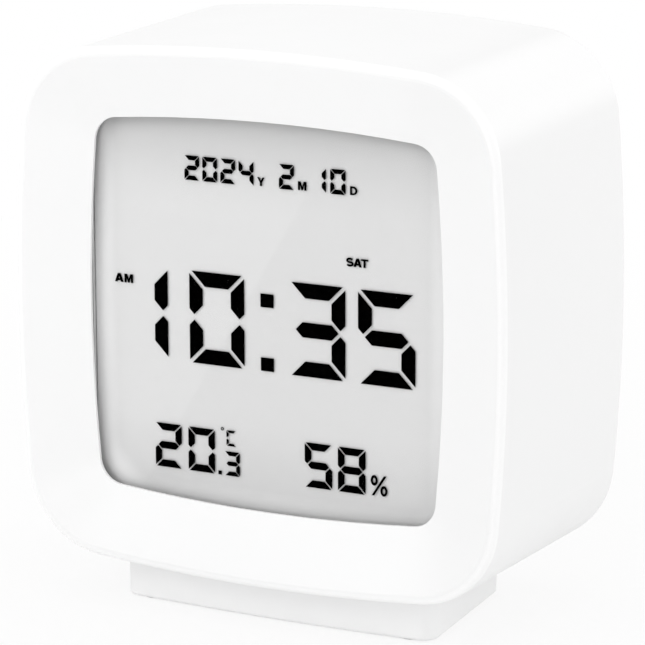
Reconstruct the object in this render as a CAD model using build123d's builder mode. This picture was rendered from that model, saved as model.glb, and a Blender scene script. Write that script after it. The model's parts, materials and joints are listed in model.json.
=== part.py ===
"""Desk clock with a temperature and humidity display, built as an assembly.

Lengths are millimetres. X runs to the viewer's right, the display faces -Y and Z runs up.
The origin lies on the table, under the middle of the clock's width and depth.
Sketch planes that face the front have their own Y running up, so a negative extrusion
from them runs towards the rear.
"""

import os

from build123d import *

os.makedirs("parts", exist_ok=True)

# Body outline
front_width = 80.0
front_height = 78.8
depth = 41.8
side_growth = 0.35
height_growth = 0.85
rear_rise = 0.45
outline_bulge = 2.4
outline_corner = 13.3
rim_fillet = 1.1
rim_land = 0.25
rear_edge_fillet = 1.8
side_wall = 2.4
stand_height = 6.45

# Bezel dish and display opening
bezel_side = 11.0
bezel_top = 10.6
opening_bulge = 1.45
opening_corner = 3.85
dish_depth = 3.25
lip_thickness = 0.45
rim_wall = 2.5
rim_step = 0.3
seat_margin = 2.6

# Display stack, front to back
lens_margin = 1.5
lens_thickness = 1.2
lens_gap = 0.1
lcd_thickness = 2.1
lcd_margin = 0.35
lcd_ledge = 2.4
holder_wall = 1.1
holder_play = 0.15
holder_back = 0.9
holder_rim = 3.6
layer_gap = 0.05
guide_thickness = 2.5
guide_margin = 0.8
reflector_thickness = 0.2
strip_width = 1.8
strip_end_margin = 3.0
led_width = 3.0
led_height = 1.4
led_depth = 2.6
led_clearance = 0.3

# Main board and what it carries
board_thickness = 1.6
board_side_margin = 0.4
board_ear_length = 5.2
board_ear_height = 24.0
board_screw_spread = 14.0
blob_radius = 6.5
blob_height = 1.7
blob_fillet = 1.1
blob_x = -12.0
blob_rise = -6.0
crystal_radius = 1.0
crystal_length = 6.0
crystal_lead_radius = 0.3
crystal_lead_length = 3.0
crystal_x = 2.0
crystal_rise = -6.0

# Screw bosses inside the body
boss_radius = 2.4
boss_inset = 6.2
cover_boss_inset = 10.6
thread_clearance = 0.05

# Small pan-head screws
screw_head_radius = 1.9
screw_head_height = 1.1
screw_shank_radius = 0.95
screw_shank_length = 6.0
screw_head_fillet = 0.4
drive_length = 2.0
drive_width = 0.45
drive_depth = 0.5
screw_hole_clearance = 0.2

# Rear cover
cover_recess = 1.5
cover_thickness = 2.0
cover_gap = 0.15
cover_fillet = 0.4
head_recess_depth = 1.2
head_recess_clearance = 0.25

# Battery bay, cells and door
cell_radius = 5.25
cell_body_length = 43.5
cell_nub_radius = 1.9
cell_nub_length = 1.0
cell_edge_fillet = 0.4
cell_clearance = 0.4
cell_pitch = 11.0
bay_end_room = 5.5
bay_wall = 1.4
bay_drop_share = 0.1142
contact_thickness = 0.4
contact_width = 8.6
contact_gap = 0.1
contact_spring_radius = 2.9
contact_spring_wire = 0.3
contact_spring_turns = 3
door_lap = 1.8
door_thickness = 1.6
door_gap = 0.3
door_corner = 1.5
door_tab_width = 8.0
door_tab_spread = 30.0
door_tab_thickness = 1.1
door_tab_reach = 1.6
door_tab_gap = 0.1
tab_slot_play = 0.4
tab_slot_depth = 1.1
latch_width = 9.0
latch_thickness = 0.9
latch_length = 2.2
latch_gap = 0.35
latch_slot_play = 0.5
thumb_radius = 6.0
thumb_depth = 1.0

# Rear buttons and their board
button_count = 4
button_end_room = 6.0
button_rise_share = 0.1904
button_radius = 3.2
button_hole_clearance = 0.3
button_proud = 0.9
button_edge_fillet = 0.5
button_flange_radius = 4.3
button_flange_thickness = 0.9
button_flange_gap = 0.1
button_stem_radius = 1.8
button_stem_length = 0.5
button_travel = 0.5
switch_width = 6.0
switch_height = 3.5
switch_stem_radius = 1.6
switch_stem_proud = 0.8
switch_stem_hidden = 1.0
switch_bore_clearance = 0.3
switch_end_clearance = 0.3
button_board_side_gap = 2.4
button_board_drop = 7.0
button_board_top_margin = 6.0
button_board_thickness = 1.2
standoff_radius = 2.2
standoff_inset = 2.0
standoff_low = 4.5
standoff_top_margin = 3.5
standoff_screw_length = 4.0

# Sensor, buzzer, vents and sound holes
sensor_width = 3.0
sensor_thickness = 1.0
upper_row_rise_share = 0.3426
vent_count = 5
vent_length = 10.0
vent_width = 1.3
vent_pitch = 2.6
buzzer_inset = 11.0
buzzer_radius = 6.5
buzzer_thickness = 3.2
buzzer_fillet = 0.5
sound_hole_radius = 0.7
sound_ring_count = 8
sound_ring_radius = 3.6

# Ribbon between the two boards
ribbon_width = 9.0
ribbon_thickness = 0.4
ribbon_sag = 3.0
ribbon_x = 0.0
ribbon_drop = 2.4
ribbon_socket_height = 2.4
ribbon_socket_depth = 2.2
ribbon_socket_width = 12.0

# Pressing foot under the body
foot_side_inset = 13.9
foot_depth = 29.2
foot_setback = 5.25
foot_taper = 2.6
foot_bow = 1.0
foot_corner = 2.5
foot_edge_fillet = 0.5
foot_floor = 1.6
foot_wall = 1.8
foot_travel = 0.6
foot_stop_gap = 0.1
well_clearance = 0.4
well_height = 3.0
well_wall = 1.6
well_ceiling = 1.8
well_block_sink = 0.4
pad_radius = 2.5
pad_proud = 0.2
pad_recess = 0.5
pad_inset_x = 4.2
pad_inset_y = 4.0
pad_play = 0.1
guide_inset_x = 11.1
guide_inset_y = 7.8
guide_pin_radius = 2.2
guide_running_clearance = 0.08
guide_tube_wall = 1.1
guide_web = 1.0
guide_head_recess = 2.6
guide_hole_clearance = 0.3
foot_screw_head_radius = 2.0
foot_screw_head_height = 1.1
foot_screw_shank_radius = 1.0
foot_spring_wire = 0.25
foot_spring_turns = 4
foot_spring_play = 0.3

# Snooze switch over the foot
plunger_radius = 2.2
plunger_hole_clearance = 0.4
plunger_top = 1.2
snooze_board_width = 26.0
snooze_board_depth = 8.4
snooze_board_thickness = 1.2
snooze_post_x = 9.5
snooze_screw_length = 4.0

# Levels and places that follow from the sizes above
cut_overrun = 1.0
y_front = -depth / 2
y_rear = depth / 2
body_centre = stand_height + front_height / 2
opening_width = front_width - 2 * bezel_side
opening_height = front_height - 2 * bezel_top
boss_x = front_width / 2 - boss_inset
cover_boss_rise = front_height / 2 - cover_boss_inset
y_seat = y_front + dish_depth + lip_thickness
y_lens_back = y_seat + lens_thickness
y_lcd = y_lens_back + lens_gap
y_lcd_back = y_lcd + lcd_thickness
y_guide = y_lcd_back + layer_gap
y_guide_back = y_guide + guide_thickness
y_reflector_back = y_guide_back + layer_gap + reflector_thickness
y_board = y_reflector_back + layer_gap + holder_back
y_board_back = y_board + board_thickness
y_cover = y_rear - cover_recess
y_cover_inner = y_cover - cover_thickness
y_door_inner = y_cover - door_thickness
y_cell = y_door_inner - cell_clearance - cell_radius
y_bay_inner = y_cell - cell_radius - cell_clearance
cell_length = cell_body_length + cell_nub_length
bay_length = cell_length + bay_end_room
bay_height = cell_pitch + 2 * cell_radius + 2 * cell_clearance
bay_centre = body_centre - bay_drop_share * front_height
bay_bottom = bay_centre - bay_height / 2
bay_top = bay_centre + bay_height / 2
door_width = bay_length + 2 * door_lap
door_height = bay_height + 2 * door_lap
door_bottom = bay_bottom - door_lap
button_row = body_centre + button_rise_share * front_height
upper_row = body_centre + upper_row_rise_share * front_height
y_button_flange = y_cover_inner - button_flange_gap
y_button_end = y_button_flange - button_flange_thickness - button_stem_length
y_switch_face = y_button_end - switch_stem_proud
y_button_board = y_switch_face - switch_height
button_board_width = 2 * (boss_x - boss_radius - button_board_side_gap)
button_board_bottom = button_row - button_board_drop
button_board_top = upper_row + button_board_top_margin
button_board_height = button_board_top - button_board_bottom
standoff_x = button_board_width / 2 - standoff_inset
button_pitch = 2 * (standoff_x - button_end_room) / (button_count - 1)
buzzer_x = standoff_x - buzzer_inset
sensor_x = -buzzer_x
foot_half_width = front_width / 2 - foot_side_inset
foot_front = y_front + foot_setback
foot_rear = foot_front + foot_depth
foot_middle = (foot_front + foot_rear) / 2
foot_bottom = pad_proud
foot_floor_top = foot_bottom + foot_floor
well_top = stand_height + well_height
foot_top = well_top - foot_travel - foot_stop_gap
ceiling_top = well_top + well_ceiling
guide_web_bottom = foot_bottom + guide_head_recess
guide_web_top = guide_web_bottom + guide_web
guide_pin_end = guide_web_top + foot_travel + foot_stop_gap
guide_bore_radius = guide_pin_radius + guide_running_clearance
guide_tube_radius = guide_bore_radius + guide_tube_wall
plunger_end = ceiling_top + plunger_top
snooze_switch_bottom = plunger_end + switch_stem_proud
snooze_board_bottom = snooze_switch_bottom + switch_height
snooze_board_top = snooze_board_bottom + snooze_board_thickness
lcd_half_width = opening_width / 2 + lcd_margin
lcd_top = opening_height / 2 + lcd_margin
lcd_bottom = -lcd_top - lcd_ledge
lcd_height = lcd_top - lcd_bottom
lcd_middle = (lcd_top + lcd_bottom) / 2
holder_half_width = lcd_half_width + holder_play + holder_wall
holder_height = lcd_height + 2 * (holder_play + holder_wall)
thread_hole_radius = screw_shank_radius + thread_clearance
cover_boss_places = [
    (x, z) for x in (-boss_x, boss_x) for z in (-cover_boss_rise, cover_boss_rise)
]
board_boss_places = [
    (x, z) for x in (-boss_x, boss_x) for z in (-board_screw_spread / 2, board_screw_spread / 2)
]
guide_x = foot_half_width - guide_inset_x
guide_places = [
    (x, y) for x in (-guide_x, guide_x) for y in (foot_front + guide_inset_y, foot_rear - guide_inset_y)
]
snooze_post_places = [(-snooze_post_x, foot_middle), (snooze_post_x, foot_middle)]
button_places = [(index - (button_count - 1) / 2) * button_pitch for index in range(button_count)]
standoff_places = [
    (x, z)
    for x in (-standoff_x, standoff_x)
    for z in (button_row - standoff_low, button_board_top - standoff_top_margin)
]


def facing_front(y, z=0):
    """Sketch plane at depth y that faces the viewer, with its own Y running up from height z."""
    return Plane(origin=(0, y, z), x_dir=(1, 0, 0), z_dir=(0, -1, 0))


def level(z):
    """Sketch plane that lies flat at height z."""
    return Plane.XY.offset(z)


def across_width(x):
    """Sketch plane across the width at x, with its own X running to the rear and Y running up."""
    return Plane(origin=(x, 0, 0), x_dir=(0, 1, 0), z_dir=(1, 0, 0))


def squircle(half_width, half_height, bulge, corner):
    """Square outline with four bowed sides and rounded corners."""
    x = half_width - bulge
    z = half_height - bulge
    with BuildSketch() as outline:
        with BuildLine():
            ThreePointArc((x, -z), (half_width, 0), (x, z))
            ThreePointArc((x, z), (0, half_height), (-x, z))
            ThreePointArc((-x, z), (-half_width, 0), (-x, -z))
            ThreePointArc((-x, -z), (0, -half_height), (x, -z))
        make_face()
        fillet(outline.vertices(), corner)
    return outline.sketch


def body_plane(y):
    """Plane across the body at depth y, centred on the outline there."""
    return facing_front(y, body_centre + rear_rise * (y - y_front) / depth)


def body_outline(y, inset):
    """The body's outline at depth y, drawn in by inset."""
    part_way = (y - y_front) / depth
    half_width = front_width / 2 + part_way * side_growth - inset
    half_height = front_height / 2 + part_way * height_growth - inset
    return squircle(half_width, half_height, outline_bulge, outline_corner - inset)


def opening_outline(margin):
    """The display opening's outline, drawn out by margin."""
    return squircle(
        opening_width / 2 + margin, opening_height / 2 + margin, opening_bulge, opening_corner + margin
    )


def foot_side(y):
    """Half the foot's width at depth y: its sides draw in towards the rear."""
    return foot_half_width - foot_taper * (y - foot_front) / foot_depth


def foot_outline(margin):
    """Plan of the foot, with a bowed front edge and tapering sides, drawn out by margin."""
    front = foot_front - margin
    corner = front + foot_bow
    rear = foot_rear + margin
    front_side = foot_side(corner) + margin
    rear_side = foot_side(rear) + margin
    with BuildSketch() as outline:
        with BuildLine():
            ThreePointArc((-front_side, corner), (0, front), (front_side, corner))
            Polyline((front_side, corner), (rear_side, rear), (-rear_side, rear), (-front_side, corner))
        make_face()
        fillet(outline.vertices(), foot_corner + margin)
    return outline.sketch


def screws(seat, places, head_radius, head_height, shank_radius, shank_length):
    """Pan-head screws: heads stand along the seat's normal and shanks run the other way."""
    with BuildPart() as group:
        with BuildSketch(seat):
            with Locations(places):
                Circle(head_radius)
        extrude(amount=head_height)
        head_rims = group.edges().filter_by(GeomType.CIRCLE)
        fillet(head_rims.filter_by(lambda rim: seat.to_local_coords(rim.center()).Z > 0), screw_head_fillet)
        with BuildSketch(seat.offset(head_height)):
            with Locations(places):
                Rectangle(drive_length, drive_width)
                Rectangle(drive_width, drive_length)
        extrude(amount=-drive_depth, mode=Mode.SUBTRACT)
        with BuildSketch(seat):
            with Locations(places):
                Circle(shank_radius)
        extrude(amount=-shank_length)
    return group


# Case shell: rim, dished bezel, four sides, foot well and screw bosses in one moulding
with BuildPart() as case_shell:
    with BuildSketch(body_plane(y_front)):
        add(body_outline(y_front, 0))
    with BuildSketch(body_plane(y_rear)):
        add(body_outline(y_rear, 0))
    loft()
    fillet(case_shell.faces().sort_by(Axis.Y)[0].edges(), rim_fillet)
    fillet(case_shell.faces().sort_by(Axis.Y)[-1].edges(), rear_edge_fillet)
    # The cavity follows the sides and stays open at the rear.
    with BuildSketch(body_plane(y_front + rim_wall)):
        add(body_outline(y_front + rim_wall, side_wall))
    with BuildSketch(body_plane(y_rear)):
        add(body_outline(y_rear, side_wall))
    loft(mode=Mode.SUBTRACT)
    # The bezel wall slopes in behind the dish to a flat seat for the lens.
    with BuildSketch(body_plane(y_front + rim_wall)):
        add(body_outline(y_front + rim_wall, side_wall + rim_step))
    with BuildSketch(facing_front(y_seat, body_centre)):
        add(opening_outline(seat_margin))
    loft(ruled=True)
    # Block over the foot well.
    with BuildSketch(level(stand_height + side_wall - well_block_sink)):
        add(foot_outline(well_clearance + well_wall))
    extrude(amount=ceiling_top - stand_height - side_wall + well_block_sink)
    # The dish and the opening.
    with BuildSketch(facing_front(y_front, body_centre)):
        add(body_outline(y_front, rim_fillet + rim_land))
    with BuildSketch(facing_front(y_front + dish_depth, body_centre)):
        add(opening_outline(0))
    loft(ruled=True, mode=Mode.SUBTRACT)
    with BuildSketch(facing_front(y_front + dish_depth, body_centre)):
        add(opening_outline(0))
    extrude(amount=-lip_thickness - cut_overrun, mode=Mode.SUBTRACT)
    # The well that the foot slides in, with its guide pins.
    with BuildSketch(level(0)):
        add(foot_outline(well_clearance))
    extrude(amount=well_top, mode=Mode.SUBTRACT)
    with BuildSketch(level(guide_pin_end)):
        with Locations(guide_places):
            Circle(guide_pin_radius)
    extrude(amount=ceiling_top - guide_pin_end)
    with BuildSketch(level(guide_pin_end)):
        with Locations(guide_places):
            Circle(foot_screw_shank_radius + thread_clearance)
    extrude(amount=well_top - guide_pin_end, mode=Mode.SUBTRACT)
    with BuildSketch(level(well_top)):
        with Locations((0, foot_middle)):
            Circle(plunger_radius + plunger_hole_clearance)
    extrude(amount=well_ceiling, mode=Mode.SUBTRACT)
    # Posts for the snooze board.
    with BuildSketch(level(ceiling_top)):
        with Locations(snooze_post_places):
            Circle(standoff_radius)
            Circle(thread_hole_radius, mode=Mode.SUBTRACT)
    extrude(amount=snooze_board_bottom - ceiling_top)
    # Bosses for the main board and the rear cover.
    with BuildSketch(facing_front(y_front + rim_wall, body_centre)):
        with Locations(board_boss_places):
            Circle(boss_radius)
    extrude(amount=-(y_board - y_front - rim_wall))
    with BuildSketch(facing_front(y_front + rim_wall, body_centre)):
        with Locations(cover_boss_places):
            Circle(boss_radius)
    extrude(amount=-(y_cover_inner - y_front - rim_wall))
    with BuildSketch(facing_front(y_board, body_centre)):
        with Locations(board_boss_places):
            Circle(thread_hole_radius)
    extrude(amount=screw_shank_length + thread_clearance, mode=Mode.SUBTRACT)
    with BuildSketch(facing_front(y_cover_inner, body_centre)):
        with Locations(cover_boss_places):
            Circle(thread_hole_radius)
    extrude(amount=screw_shank_length + thread_clearance, mode=Mode.SUBTRACT)
case_shell.part.label = "case_shell"
export_step(case_shell.part, "parts/case_shell.step")

# Display lens: clear window glued behind the opening
with BuildPart() as display_lens:
    with BuildSketch(facing_front(y_seat, body_centre)):
        add(opening_outline(lens_margin))
    extrude(amount=-lens_thickness)
display_lens.part.label = "display_lens"
export_step(display_lens.part, "parts/display_lens.step")

# LCD panel: front glass, and a rear glass whose lower ledge carries the contacts
with BuildPart() as lcd_panel:
    with BuildSketch(facing_front(y_lcd, body_centre)):
        Rectangle(2 * lcd_half_width, 2 * lcd_top)
    extrude(amount=-lcd_thickness)
    with BuildSketch(facing_front(y_lcd + lcd_thickness / 2, body_centre)):
        with Locations((0, lcd_middle)):
            Rectangle(2 * lcd_half_width, lcd_height)
    extrude(amount=-lcd_thickness / 2)
lcd_panel.part.label = "lcd_panel"
export_step(lcd_panel.part, "parts/lcd_panel.step")

# Light guide: clear plate behind the LCD, notched for its lamp
guide_half_width = lcd_half_width - guide_margin
guide_half_height = lcd_top - guide_margin
led_middle = guide_half_height - led_height / 2
with BuildPart() as light_guide:
    with BuildSketch(facing_front(y_guide, body_centre)):
        Rectangle(2 * guide_half_width, 2 * guide_half_height)
        with Locations((0, led_middle)):
            Rectangle(led_width + 2 * led_clearance, led_height + 2 * led_clearance, mode=Mode.SUBTRACT)
    extrude(amount=-guide_thickness)
light_guide.part.label = "light_guide"
export_step(light_guide.part, "parts/light_guide.step")

# Reflector sheet behind the light guide
with BuildPart() as reflector_sheet:
    with BuildSketch(facing_front(y_guide_back + layer_gap, body_centre)):
        Rectangle(2 * guide_half_width, 2 * guide_half_height)
        with Locations((0, led_middle)):
            Rectangle(led_width + 2 * led_clearance, led_height + 2 * led_clearance, mode=Mode.SUBTRACT)
    extrude(amount=-reflector_thickness)
reflector_sheet.part.label = "reflector_sheet"
export_step(reflector_sheet.part, "parts/reflector_sheet.step")

# Backlight LED: its base stands on the main board and its body sits in the guide's notch
with BuildPart() as backlight_led:
    with BuildSketch(facing_front(y_board, body_centre)):
        with Locations((0, led_middle)):
            Rectangle(led_width, led_height)
    extrude(amount=led_depth)
backlight_led.part.label = "backlight_led"
export_step(backlight_led.part, "parts/backlight_led.step")

# Contact strip between the LCD's ledge and the main board
strip_length = 2 * (lcd_half_width - strip_end_margin)
strip_middle = lcd_bottom + lcd_ledge / 2
with BuildPart() as lcd_contact_strip:
    with BuildSketch(facing_front(y_lcd_back, body_centre)):
        with Locations((0, strip_middle)):
            Rectangle(strip_length, strip_width)
    extrude(amount=-(y_board - y_lcd_back))
lcd_contact_strip.part.label = "lcd_contact_strip"
export_step(lcd_contact_strip.part, "parts/lcd_contact_strip.step")

# LCD holder: moulded tray that squares the glass, guide and strip up on the board
with BuildPart() as lcd_holder:
    with BuildSketch(facing_front(y_lens_back, body_centre)):
        with Locations((0, lcd_middle)):
            Rectangle(2 * holder_half_width, holder_height)
    extrude(amount=-(y_board - y_lens_back))
    with BuildSketch(facing_front(y_lens_back, body_centre)):
        with Locations((0, lcd_middle)):
            Rectangle(2 * (lcd_half_width + holder_play), lcd_height + 2 * holder_play)
    extrude(amount=-(y_lcd_back - y_lens_back), mode=Mode.SUBTRACT)
    with BuildSketch(facing_front(y_lcd_back, body_centre)):
        Rectangle(2 * (guide_half_width + holder_play), 2 * (guide_half_height + holder_play))
    extrude(amount=-(y_reflector_back - y_lcd_back), mode=Mode.SUBTRACT)
    with BuildSketch(facing_front(y_reflector_back, body_centre)):
        Rectangle(2 * (guide_half_width - holder_rim), 2 * (guide_half_height - holder_rim))
        with Locations((0, led_middle)):
            Rectangle(led_width + 2 * led_clearance, led_height + 2 * led_clearance)
    extrude(amount=-(y_board - y_reflector_back), mode=Mode.SUBTRACT)
    with BuildSketch(facing_front(y_lcd_back, body_centre)):
        with Locations((0, strip_middle)):
            Rectangle(strip_length + 2 * holder_play, strip_width + 2 * holder_play)
    extrude(amount=-(y_board - y_lcd_back), mode=Mode.SUBTRACT)
lcd_holder.part.label = "lcd_holder"
export_step(lcd_holder.part, "parts/lcd_holder.step")

# Main board: as large as the holder, with an ear at each side for its screws
board_half_width = holder_half_width - board_side_margin
board_ear_half_width = board_half_width + board_ear_length
with BuildPart() as main_board:
    with BuildSketch(facing_front(y_board, body_centre)):
        with Locations((0, lcd_middle)):
            Rectangle(2 * board_half_width, holder_height)
        Rectangle(2 * board_ear_half_width, board_ear_height)
        with Locations(board_boss_places):
            Circle(screw_shank_radius + screw_hole_clearance, mode=Mode.SUBTRACT)
    extrude(amount=-board_thickness)
main_board.part.label = "main_board"
export_step(main_board.part, "parts/main_board.step")

# Screws that clamp the main board and the display stack to the case
main_board_screws = screws(
    facing_front(y_board_back, body_centre).rotated((180, 0, 0)),
    [(x, -z) for x, z in board_boss_places],
    screw_head_radius,
    screw_head_height,
    screw_shank_radius,
    screw_shank_length,
)
main_board_screws.part.label = "main_board_screws"
export_step(main_board_screws.part, "parts/main_board_screws.step")

# Controller under its drop of resin
with BuildPart() as controller_blob:
    with BuildSketch(facing_front(y_board_back, body_centre)):
        with Locations((blob_x, blob_rise)):
            Circle(blob_radius)
    extrude(amount=-blob_height)
    fillet(controller_blob.faces().sort_by(Axis.Y)[-1].edges(), blob_fillet)
controller_blob.part.label = "controller_blob"
export_step(controller_blob.part, "parts/controller_blob.step")

# Timing crystal: a small can lying on the main board, on its two leads
with BuildPart() as timing_crystal:
    with BuildSketch(across_width(crystal_x)):
        with Locations((y_board_back + crystal_radius, body_centre + crystal_rise)):
            Circle(crystal_radius)
    extrude(amount=crystal_length)
    with BuildSketch(across_width(crystal_x)):
        with Locations((y_board_back + crystal_radius, body_centre + crystal_rise)):
            with Locations((0, crystal_radius / 2), (0, -crystal_radius / 2)):
                Circle(crystal_lead_radius)
    extrude(amount=-crystal_lead_length)
timing_crystal.part.label = "timing_crystal"
export_step(timing_crystal.part, "parts/timing_crystal.step")

# Rear cover: plate set into the case, with the battery bay moulded behind it
with BuildPart() as rear_cover:
    with BuildSketch(body_plane(y_cover)):
        add(body_outline(y_cover, side_wall + cover_gap))
    extrude(amount=cover_thickness)
    fillet(rear_cover.faces().sort_by(Axis.Y)[-1].edges(), cover_fillet)
    # Battery bay, its mouth and the step that the door lies in.
    with BuildSketch(facing_front(y_cover_inner, bay_centre)):
        Rectangle(bay_length + 2 * bay_wall, bay_height + 2 * bay_wall)
    extrude(amount=y_cover_inner - y_bay_inner + bay_wall)
    with BuildSketch(facing_front(y_cover, bay_centre)):
        Rectangle(bay_length, bay_height)
    extrude(amount=y_cover - y_bay_inner, mode=Mode.SUBTRACT)
    with BuildSketch(facing_front(y_cover, bay_centre)):
        RectangleRounded(door_width + 2 * door_gap, door_height + 2 * door_gap, door_corner + door_gap)
    extrude(amount=door_thickness, mode=Mode.SUBTRACT)
    # Slots for the door's tabs and latch, and a scoop for the thumb.
    with BuildSketch(facing_front(y_door_inner, bay_bottom - door_lap - door_tab_reach - tab_slot_play)):
        with GridLocations(door_tab_spread, 0, 2, 1):
            Rectangle(
                door_tab_width + 2 * tab_slot_play,
                door_lap + door_tab_reach + 2 * tab_slot_play,
                align=(Align.CENTER, Align.MIN),
            )
    extrude(amount=door_thickness + tab_slot_depth, mode=Mode.SUBTRACT)
    with BuildSketch(facing_front(y_door_inner, bay_top)):
        Rectangle(latch_width + 2 * latch_slot_play, bay_wall + cut_overrun, align=(Align.CENTER, Align.MIN))
    extrude(amount=latch_length + latch_slot_play, mode=Mode.SUBTRACT)
    with BuildSketch(facing_front(y_cover, bay_top + door_lap)):
        Circle(thumb_radius)
    extrude(amount=thumb_depth, mode=Mode.SUBTRACT)
    # Button holes.
    with BuildSketch(facing_front(y_cover, button_row)):
        with Locations([(x, 0) for x in button_places]):
            Circle(button_radius + button_hole_clearance)
    extrude(amount=cover_thickness, mode=Mode.SUBTRACT)
    # Vent slots over the sensor, and sound holes over the buzzer.
    with BuildSketch(facing_front(y_cover, upper_row)):
        with Locations((sensor_x, 0)):
            with GridLocations(0, vent_pitch, 1, vent_count):
                SlotOverall(vent_length, vent_width)
        with Locations((buzzer_x, 0)):
            Circle(sound_hole_radius)
            with PolarLocations(sound_ring_radius, sound_ring_count):
                Circle(sound_hole_radius)
    extrude(amount=cover_thickness, mode=Mode.SUBTRACT)
    # Standoffs for the button board.
    with BuildSketch(facing_front(y_cover_inner)):
        with Locations(standoff_places):
            Circle(standoff_radius)
            Circle(thread_hole_radius, mode=Mode.SUBTRACT)
    extrude(amount=y_cover_inner - y_button_board)
    # Holes for the cover's own screws.
    with BuildSketch(facing_front(y_cover, body_centre)):
        with Locations(cover_boss_places):
            Circle(screw_shank_radius + screw_hole_clearance)
    extrude(amount=cover_thickness, mode=Mode.SUBTRACT)
    with BuildSketch(facing_front(y_cover, body_centre)):
        with Locations(cover_boss_places):
            Circle(screw_head_radius + head_recess_clearance)
    extrude(amount=head_recess_depth, mode=Mode.SUBTRACT)
rear_cover.part.label = "rear_cover"
export_step(rear_cover.part, "parts/rear_cover.step")

# Screws that hold the rear cover
rear_cover_screws = screws(
    facing_front(y_cover - head_recess_depth, body_centre).rotated((180, 0, 0)),
    [(x, -z) for x, z in cover_boss_places],
    screw_head_radius,
    screw_head_height,
    screw_shank_radius,
    screw_shank_length,
)
rear_cover_screws.part.label = "rear_cover_screws"
export_step(rear_cover_screws.part, "parts/rear_cover_screws.step")

# Battery door: turns out on two tabs at its lower edge, held at the top by a latch tongue
with BuildPart() as battery_door:
    with BuildSketch(facing_front(y_cover, bay_centre)):
        RectangleRounded(door_width, door_height, door_corner)
    extrude(amount=door_thickness)
    with BuildSketch(facing_front(y_door_inner, door_bottom)):
        with GridLocations(door_tab_spread, 0, 2, 1):
            Rectangle(door_tab_width, door_lap, align=(Align.CENTER, Align.MIN))
    tab_neck = cover_thickness - door_thickness + door_tab_gap
    extrude(amount=tab_neck + door_tab_thickness)
    with BuildSketch(facing_front(y_door_inner - tab_neck, door_bottom - door_tab_reach)):
        with GridLocations(door_tab_spread, 0, 2, 1):
            Rectangle(door_tab_width, door_tab_reach + door_lap, align=(Align.CENTER, Align.MIN))
    extrude(amount=door_tab_thickness)
    with BuildSketch(facing_front(y_door_inner, bay_top - latch_gap)):
        Rectangle(latch_width, latch_thickness, align=(Align.CENTER, Align.MAX))
    extrude(amount=latch_length)
battery_door.part.label = "battery_door"
export_step(battery_door.part, "parts/battery_door.step")

# Two cells lie side by side with opposite ends forward
cell_nub_end = bay_length / 2 - contact_thickness - contact_gap
for cell_name, turn, cell_height in (
    ("upper_cell", 1, bay_centre + cell_pitch / 2),
    ("lower_cell", -1, bay_centre - cell_pitch / 2),
):
    with BuildPart() as cell:
        with BuildSketch(across_width(turn * (cell_nub_end - cell_nub_length))):
            with Locations((y_cell, cell_height)):
                Circle(cell_radius)
        extrude(amount=-turn * cell_body_length)
        fillet(cell.edges().filter_by(GeomType.CIRCLE), cell_edge_fillet)
        with BuildSketch(across_width(turn * (cell_nub_end - cell_nub_length))):
            with Locations((y_cell, cell_height)):
                Circle(cell_nub_radius)
        extrude(amount=turn * cell_nub_length)
    cell.part.label = cell_name
    export_step(cell.part, f"parts/{cell_name}.step")

# Contact plates at both ends of the bay
with BuildPart() as battery_contacts:
    for plate_end in (-1, 1):
        with BuildSketch(across_width(plate_end * bay_length / 2)):
            with Locations((y_cell, bay_centre - cell_pitch / 2), (y_cell, bay_centre + cell_pitch / 2)):
                Rectangle(contact_width, contact_width)
        extrude(amount=-plate_end * contact_thickness)
battery_contacts.part.label = "battery_contacts"
export_step(battery_contacts.part, "parts/battery_contacts.step")

# Coil contacts that press on the cells' flat ends
spring_room = bay_length - cell_length - 2 * contact_thickness - 2 * contact_gap - contact_gap
coil_height = spring_room - 2 * contact_spring_wire - contact_gap
with BuildPart() as battery_springs:
    for turn, cell_height in ((1, bay_centre + cell_pitch / 2), (-1, bay_centre - cell_pitch / 2)):
        coil_start = -turn * (bay_length / 2 - contact_thickness - contact_gap / 2 - contact_spring_wire)
        with BuildLine() as coil:
            Helix(
                coil_height / contact_spring_turns,
                coil_height,
                contact_spring_radius,
                center=(coil_start, y_cell, cell_height),
                direction=(turn, 0, 0),
            )
        with BuildSketch(Plane(coil.line @ 0, z_dir=coil.line % 0)):
            Circle(contact_spring_wire)
        sweep(path=coil.line, is_frenet=True)
battery_springs.part.label = "battery_springs"
export_step(battery_springs.part, "parts/battery_springs.step")

# Button board behind the rear cover
button_board_middle = button_board_bottom + button_board_height / 2
with BuildPart() as button_board:
    with BuildSketch(facing_front(y_button_board)):
        with Locations((0, button_board_middle)):
            Rectangle(button_board_width, button_board_height)
        with Locations(standoff_places):
            Circle(screw_shank_radius + screw_hole_clearance, mode=Mode.SUBTRACT)
    extrude(amount=button_board_thickness)
button_board.part.label = "button_board"
export_step(button_board.part, "parts/button_board.step")

# Screws that hold the button board on its standoffs
button_board_screws = screws(
    facing_front(y_button_board - button_board_thickness),
    standoff_places,
    screw_head_radius,
    screw_head_height,
    screw_shank_radius,
    standoff_screw_length,
)
button_board_screws.part.label = "button_board_screws"
export_step(button_board_screws.part, "parts/button_board_screws.step")

# Housings of the four button switches
switch_bore_radius = switch_stem_radius + switch_bore_clearance
with BuildPart() as button_switches:
    with BuildSketch(facing_front(y_switch_face, button_row)):
        with Locations([(x, 0) for x in button_places]):
            Rectangle(switch_width, switch_width)
    extrude(amount=switch_height)
    with BuildSketch(facing_front(y_switch_face, button_row)):
        with Locations([(x, 0) for x in button_places]):
            Circle(switch_bore_radius)
    extrude(amount=switch_stem_hidden + button_travel + switch_end_clearance, mode=Mode.SUBTRACT)
button_switches.part.label = "button_switches"
export_step(button_switches.part, "parts/button_switches.step")

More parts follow.
